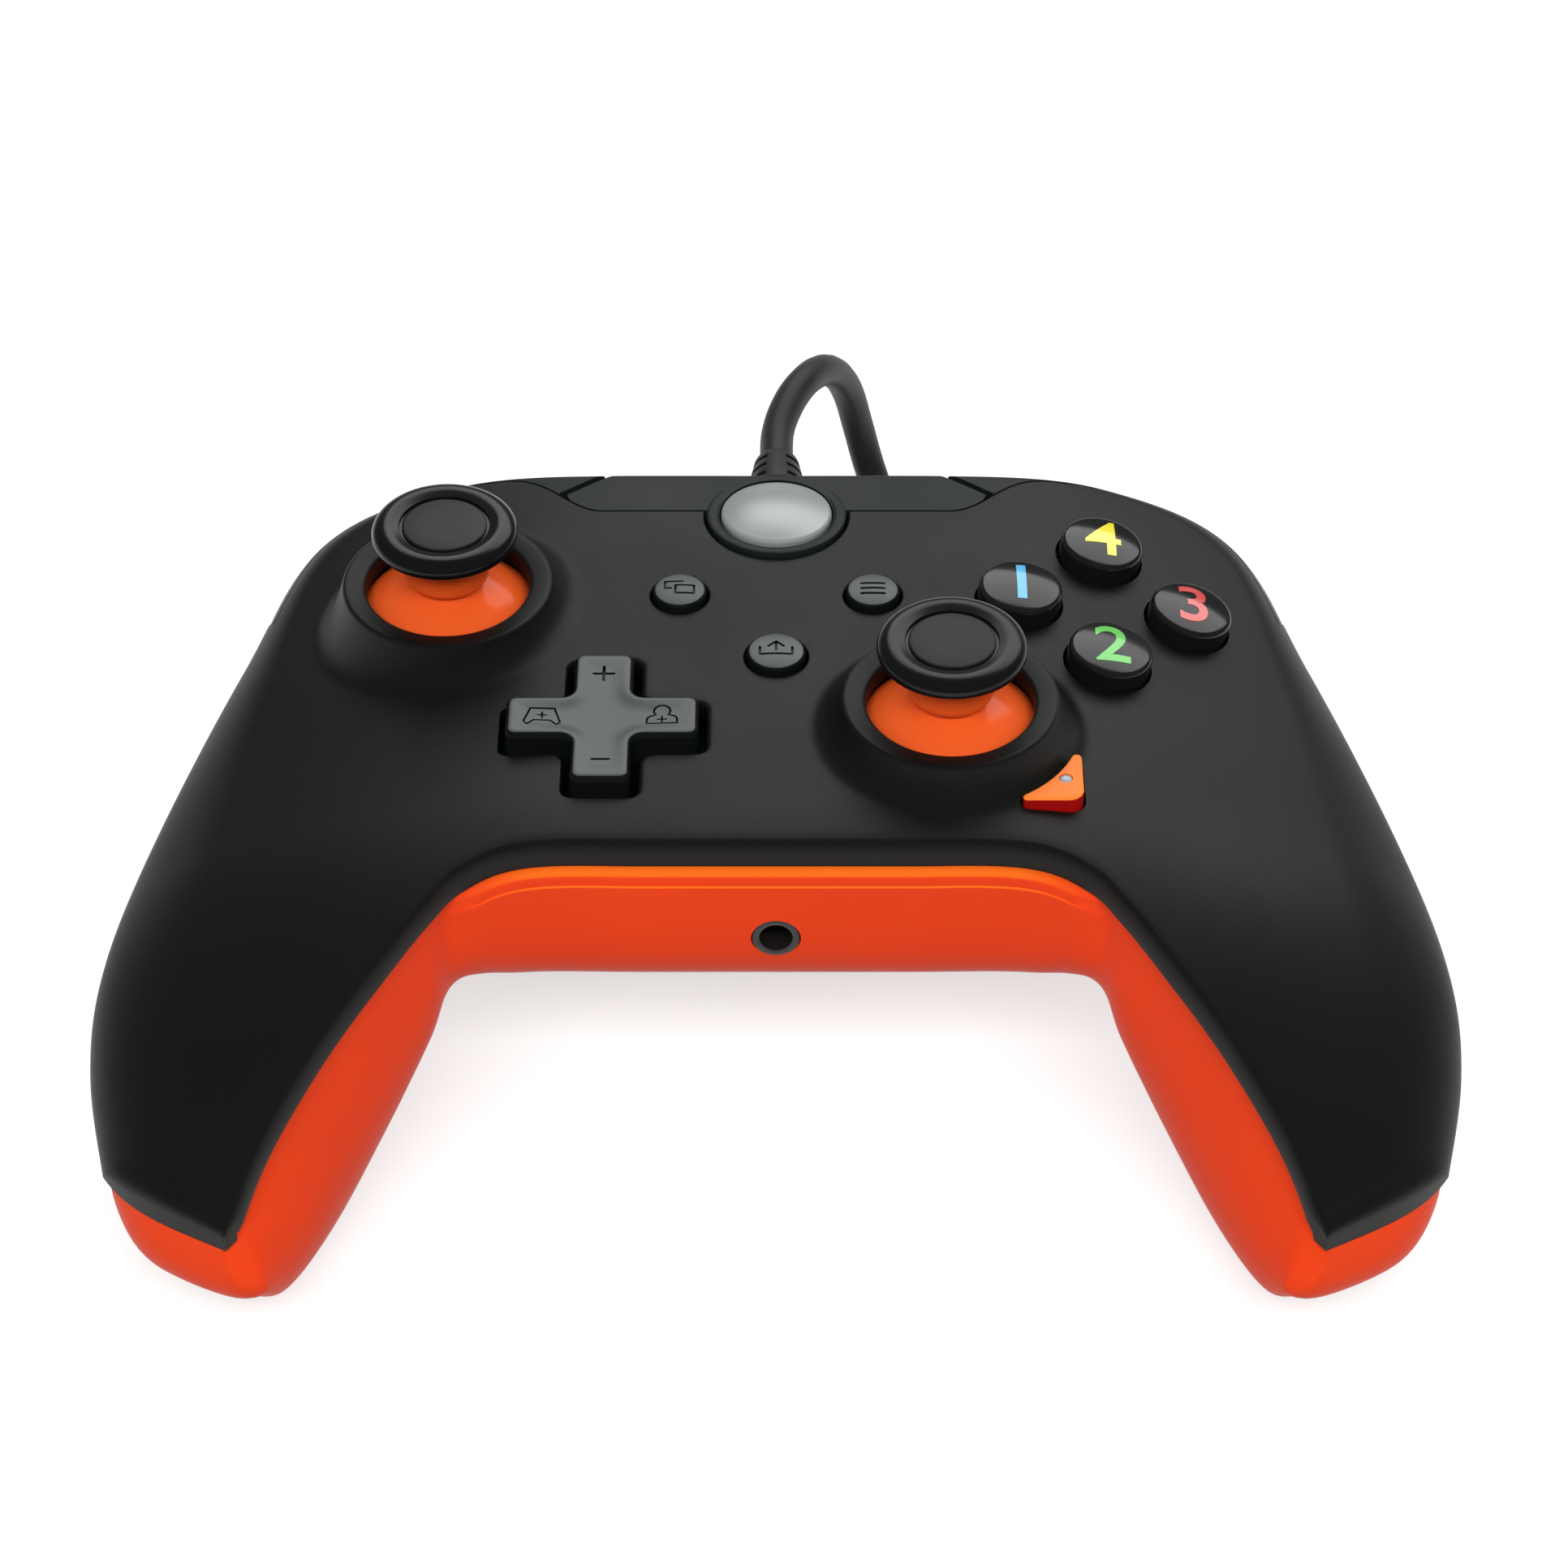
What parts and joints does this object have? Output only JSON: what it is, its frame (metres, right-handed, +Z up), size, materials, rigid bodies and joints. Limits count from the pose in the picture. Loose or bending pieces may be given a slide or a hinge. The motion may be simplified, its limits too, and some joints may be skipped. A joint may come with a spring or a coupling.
{
  "type": "wired gamepad",
  "caption": "Two-handed wired gamepad: dark face on an orange shell, tilting sticks in raised wells, cross pad, domed buttons, bumpers, pulled triggers and a coiled lead with a plug.",
  "frame": {"origin": "middle of the part's width and depth without its lead, on the table it lies on", "axes": "+X to the player's right, +Y away from the player toward the lead, +Z up out of the face"},
  "size_m": [0.1554, 0.1539, 0.0592],
  "materials": {
    "shell_dark": "fine satin grain",
    "shell_orange": "smooth satin",
    "bridge_green_grey": "satin",
    "bumper_black": "semi gloss",
    "trigger_black": "satin",
    "stick_rubber": "matte, finely textured top",
    "stick_orange": "gloss",
    "pad_grey": "satin",
    "button_black": "gloss",
    "button_dark": "satin",
    "home_silver": "satin metallic paint",
    "key_orange": "satin",
    "led_grey": "clear, unlit",
    "steel": "bright",
    "inner_plastic": "natural moulding",
    "silicone": "soft",
    "board_green": "solder mask",
    "jack_black": "satin",
    "cord_black": "satin"
  },
  "bodies": {
    "root": {"front_shell": "shell_dark", "rear_shell": "shell_orange", "center_bridge": "bridge_green_grey", "left_trigger_pin": "steel", "right_trigger_pin": "steel", "left_trigger_spring": "steel", "right_trigger_spring": "steel", "housing_screws": "steel", "left_rumble_motor": "steel", "right_rumble_motor": "steel", "left_stick_module": "steel", "right_stick_module": "steel", "plug_shell": "steel", "trigger_frame": "inner_plastic", "face_membrane": "silicone", "pad_membrane": "silicone", "center_membrane": "silicone", "main_board": "board_green", "audio_jack": "jack_black", "cord_relief": "cord_black", "cord": "cord_black", "cord_coil": "cord_black", "cord_tail": "cord_black", "plug_body": "cord_black"},
    "left_bumper": {"left_bumper": "bumper_black"},
    "left_trigger": {"left_trigger": "trigger_black"},
    "left_stick_lower_yoke": {"left_stick_lower_yoke": "inner_plastic"},
    "left_stick_rocker": {"left_stick_rocker": "inner_plastic"},
    "left_stick": {"left_stick_post": "stick_orange", "left_stick_cap": "stick_rubber"},
    "left_stick_upper_yoke": {"left_stick_upper_yoke": "inner_plastic"},
    "left_rumble_weight": {"left_rumble_weight": "steel"},
    "right_bumper": {"right_bumper": "bumper_black"},
    "right_trigger": {"right_trigger": "trigger_black"},
    "right_stick_lower_yoke": {"right_stick_lower_yoke": "inner_plastic"},
    "right_stick_rocker": {"right_stick_rocker": "inner_plastic"},
    "right_stick": {"right_stick_post": "stick_orange", "right_stick_cap": "stick_rubber"},
    "right_stick_upper_yoke": {"right_stick_upper_yoke": "inner_plastic"},
    "right_rumble_weight": {"right_rumble_weight": "steel"},
    "pad_ball": {"pad_ball": "steel"},
    "direction_pad": {"direction_pad": "pad_grey"},
    "face_button_top": {"face_button_top": "button_black"},
    "face_button_bottom": {"face_button_bottom": "button_black"},
    "face_button_left": {"face_button_left": "button_black"},
    "face_button_right": {"face_button_right": "button_black"},
    "view_button": {"view_button": "button_dark"},
    "menu_button": {"menu_button": "button_dark"},
    "share_button": {"share_button": "button_dark"},
    "home_button": {"home_button": "home_silver"},
    "function_key": {"function_button": "key_orange", "function_led": "led_grey"}
  },
  "joints": [
    {"name": "left_bumper_press", "type": "hinge", "parent": "root", "child": "left_bumper", "pos_m": [-0.0262, 0.044, 0.0386], "axis": [0, -1, 0], "range_deg": [0, 2.2], "stiffness_Nm_per_rad": 0.3, "springref_deg": -1.15},
    {"name": "left_trigger_pull", "type": "hinge", "parent": "root", "child": "left_trigger", "pos_m": [-0.0355, 0.043, 0.031], "axis": [-1, 0, 0], "range_deg": [0, 18], "stiffness_Nm_per_rad": 0.06, "springref_deg": -5.73},
    {"name": "left_stick_up_down", "type": "hinge", "parent": "root", "child": "left_stick_lower_yoke", "pos_m": [-0.039, 0.0242, 0.0352], "axis": [1, 0, 0], "range_deg": [-13, 13], "stiffness_Nm_per_rad": 0.03},
    {"name": "left_stick_left_right", "type": "hinge", "parent": "left_stick_lower_yoke", "child": "left_stick_rocker", "pos_m": [-0.039, 0.0242, 0.0352], "axis": [0, 1, 0], "range_deg": [-13, 13], "stiffness_Nm_per_rad": 0.03},
    {"name": "left_stick_click", "type": "slide", "parent": "left_stick_rocker", "child": "left_stick", "axis": [0, 0, -1], "range_m": [0, 0.0005], "stiffness_N_per_m": 400, "springref_m": -0.0003},
    {"name": "left_stick_upper_yoke_turn", "type": "hinge", "parent": "root", "child": "left_stick_upper_yoke", "pos_m": [-0.039, 0.0242, 0.0352], "axis": [0, 1, 0], "range_deg": [-13.5, 13.5]},
    {"name": "left_rumble_spin", "type": "hinge", "parent": "root", "child": "left_rumble_weight", "pos_m": [-0.062, -0.031, 0.017], "axis": [0, 1, 0], "continuous": true},
    {"name": "right_bumper_press", "type": "hinge", "parent": "root", "child": "right_bumper", "pos_m": [0.0262, 0.044, 0.0386], "axis": [0, 1, 0], "range_deg": [0, 2.2], "stiffness_Nm_per_rad": 0.3, "springref_deg": -1.15},
    {"name": "right_trigger_pull", "type": "hinge", "parent": "root", "child": "right_trigger", "pos_m": [0.0355, 0.043, 0.031], "axis": [-1, 0, 0], "range_deg": [0, 18], "stiffness_Nm_per_rad": 0.06, "springref_deg": -5.73},
    {"name": "right_stick_up_down", "type": "hinge", "parent": "root", "child": "right_stick_lower_yoke", "pos_m": [0.02, 0.0005, 0.037], "axis": [1, 0, 0], "range_deg": [-13, 13], "stiffness_Nm_per_rad": 0.03},
    {"name": "right_stick_left_right", "type": "hinge", "parent": "right_stick_lower_yoke", "child": "right_stick_rocker", "pos_m": [0.02, 0.0005, 0.037], "axis": [0, 1, 0], "range_deg": [-13, 13], "stiffness_Nm_per_rad": 0.03},
    {"name": "right_stick_click", "type": "slide", "parent": "right_stick_rocker", "child": "right_stick", "axis": [0, 0, -1], "range_m": [0, 0.0005], "stiffness_N_per_m": 400, "springref_m": -0.0003},
    {"name": "right_stick_upper_yoke_turn", "type": "hinge", "parent": "root", "child": "right_stick_upper_yoke", "pos_m": [0.02, 0.0005, 0.037], "axis": [0, 1, 0], "range_deg": [-13.5, 13.5]},
    {"name": "right_rumble_spin", "type": "hinge", "parent": "root", "child": "right_rumble_weight", "pos_m": [0.062, -0.031, 0.017], "axis": [0, 1, 0], "continuous": true},
    {"name": "pad_up_down", "type": "hinge", "parent": "root", "child": "pad_ball", "pos_m": [-0.02, 0.0005, 0.0405], "axis": [1, 0, 0], "range_deg": [-6, 6], "stiffness_Nm_per_rad": 0.008},
    {"name": "pad_left_right", "type": "hinge", "parent": "pad_ball", "child": "direction_pad", "pos_m": [-0.02, 0.0005, 0.0405], "axis": [0, 1, 0], "range_deg": [-6, 6], "stiffness_Nm_per_rad": 0.008},
    {"name": "face_top_press", "type": "slide", "parent": "root", "child": "face_button_top", "axis": [-0.1657, 0, -0.9862], "range_m": [0, 0.0012], "stiffness_N_per_m": 150, "springref_m": -0.0006},
    {"name": "face_bottom_press", "type": "slide", "parent": "root", "child": "face_button_bottom", "axis": [-0.1657, 0, -0.9862], "range_m": [0, 0.0012], "stiffness_N_per_m": 150, "springref_m": -0.0006},
    {"name": "face_left_press", "type": "slide", "parent": "root", "child": "face_button_left", "axis": [-0.0869, 0, -0.9962], "range_m": [0, 0.0012], "stiffness_N_per_m": 150, "springref_m": -0.0006},
    {"name": "face_right_press", "type": "slide", "parent": "root", "child": "face_button_right", "axis": [-0.2414, 0, -0.9704], "range_m": [0, 0.0012], "stiffness_N_per_m": 150, "springref_m": -0.0006},
    {"name": "view_press", "type": "slide", "parent": "root", "child": "view_button", "axis": [0, 0, -1], "range_m": [0, 0.0008], "stiffness_N_per_m": 60, "springref_m": -0.0005},
    {"name": "menu_press", "type": "slide", "parent": "root", "child": "menu_button", "axis": [0, 0, -1], "range_m": [0, 0.0008], "stiffness_N_per_m": 60, "springref_m": -0.0005},
    {"name": "share_press", "type": "slide", "parent": "root", "child": "share_button", "axis": [0, 0, -1], "range_m": [0, 0.0008], "stiffness_N_per_m": 60, "springref_m": -0.0005},
    {"name": "home_press", "type": "slide", "parent": "root", "child": "home_button", "axis": [0, 0, -1], "range_m": [0, 0.0006], "stiffness_N_per_m": 100, "springref_m": -0.0005},
    {"name": "function_press", "type": "slide", "parent": "root", "child": "function_key", "axis": [0, 0, -1], "range_m": [0, 0.0007], "stiffness_N_per_m": 80, "springref_m": -0.0005}
  ],
  "couplings": [
    {"joint": "left_stick_upper_yoke_turn", "follows": "left_stick_left_right", "ratio": 1},
    {"joint": "right_stick_upper_yoke_turn", "follows": "right_stick_left_right", "ratio": 1}
  ]
}
